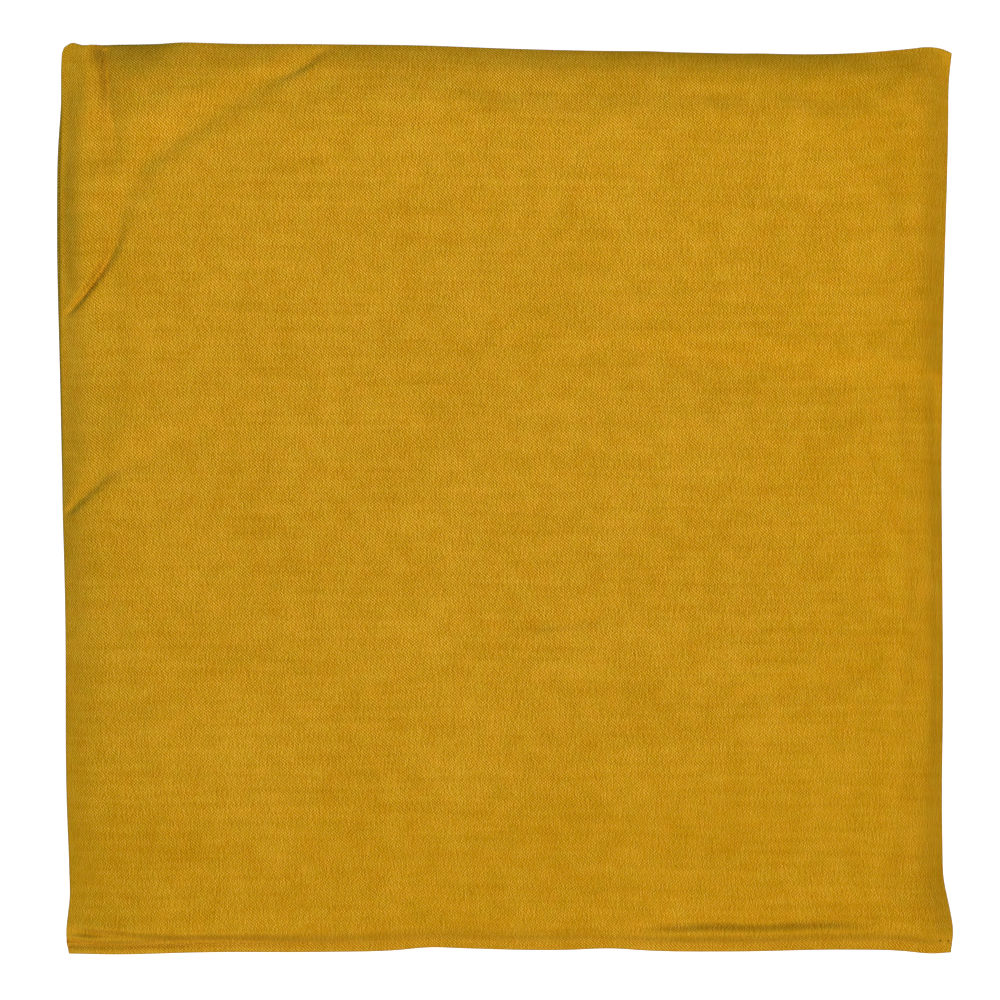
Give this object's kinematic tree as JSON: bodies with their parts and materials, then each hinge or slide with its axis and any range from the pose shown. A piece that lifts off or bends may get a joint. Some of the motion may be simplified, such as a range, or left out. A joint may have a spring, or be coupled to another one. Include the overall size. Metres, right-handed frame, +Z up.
{
  "type": "grape seed heat pillow",
  "caption": "Low square heat pillow: a mustard plain-woven cotton bag filled with grape seeds, with drawn-in sides, a slack folded corner and a topstitched closing edge.",
  "frame": {"origin": "on the surface that the pillow lies on, under the middle of its outline", "axes": "+Z up through the pillow's thickness, +Y towards the edge opposite the topstitched closing edge, +X to the right seen from above"},
  "size_m": [0.2986, 0.3036, 0.0221],
  "materials": {
    "mustard_cotton": "matt plain-woven cotton, piece-dyed mustard"
  },
  "bodies": {
    "root": {"seed_pillow": "mustard_cotton"}
  },
  "joints": []
}
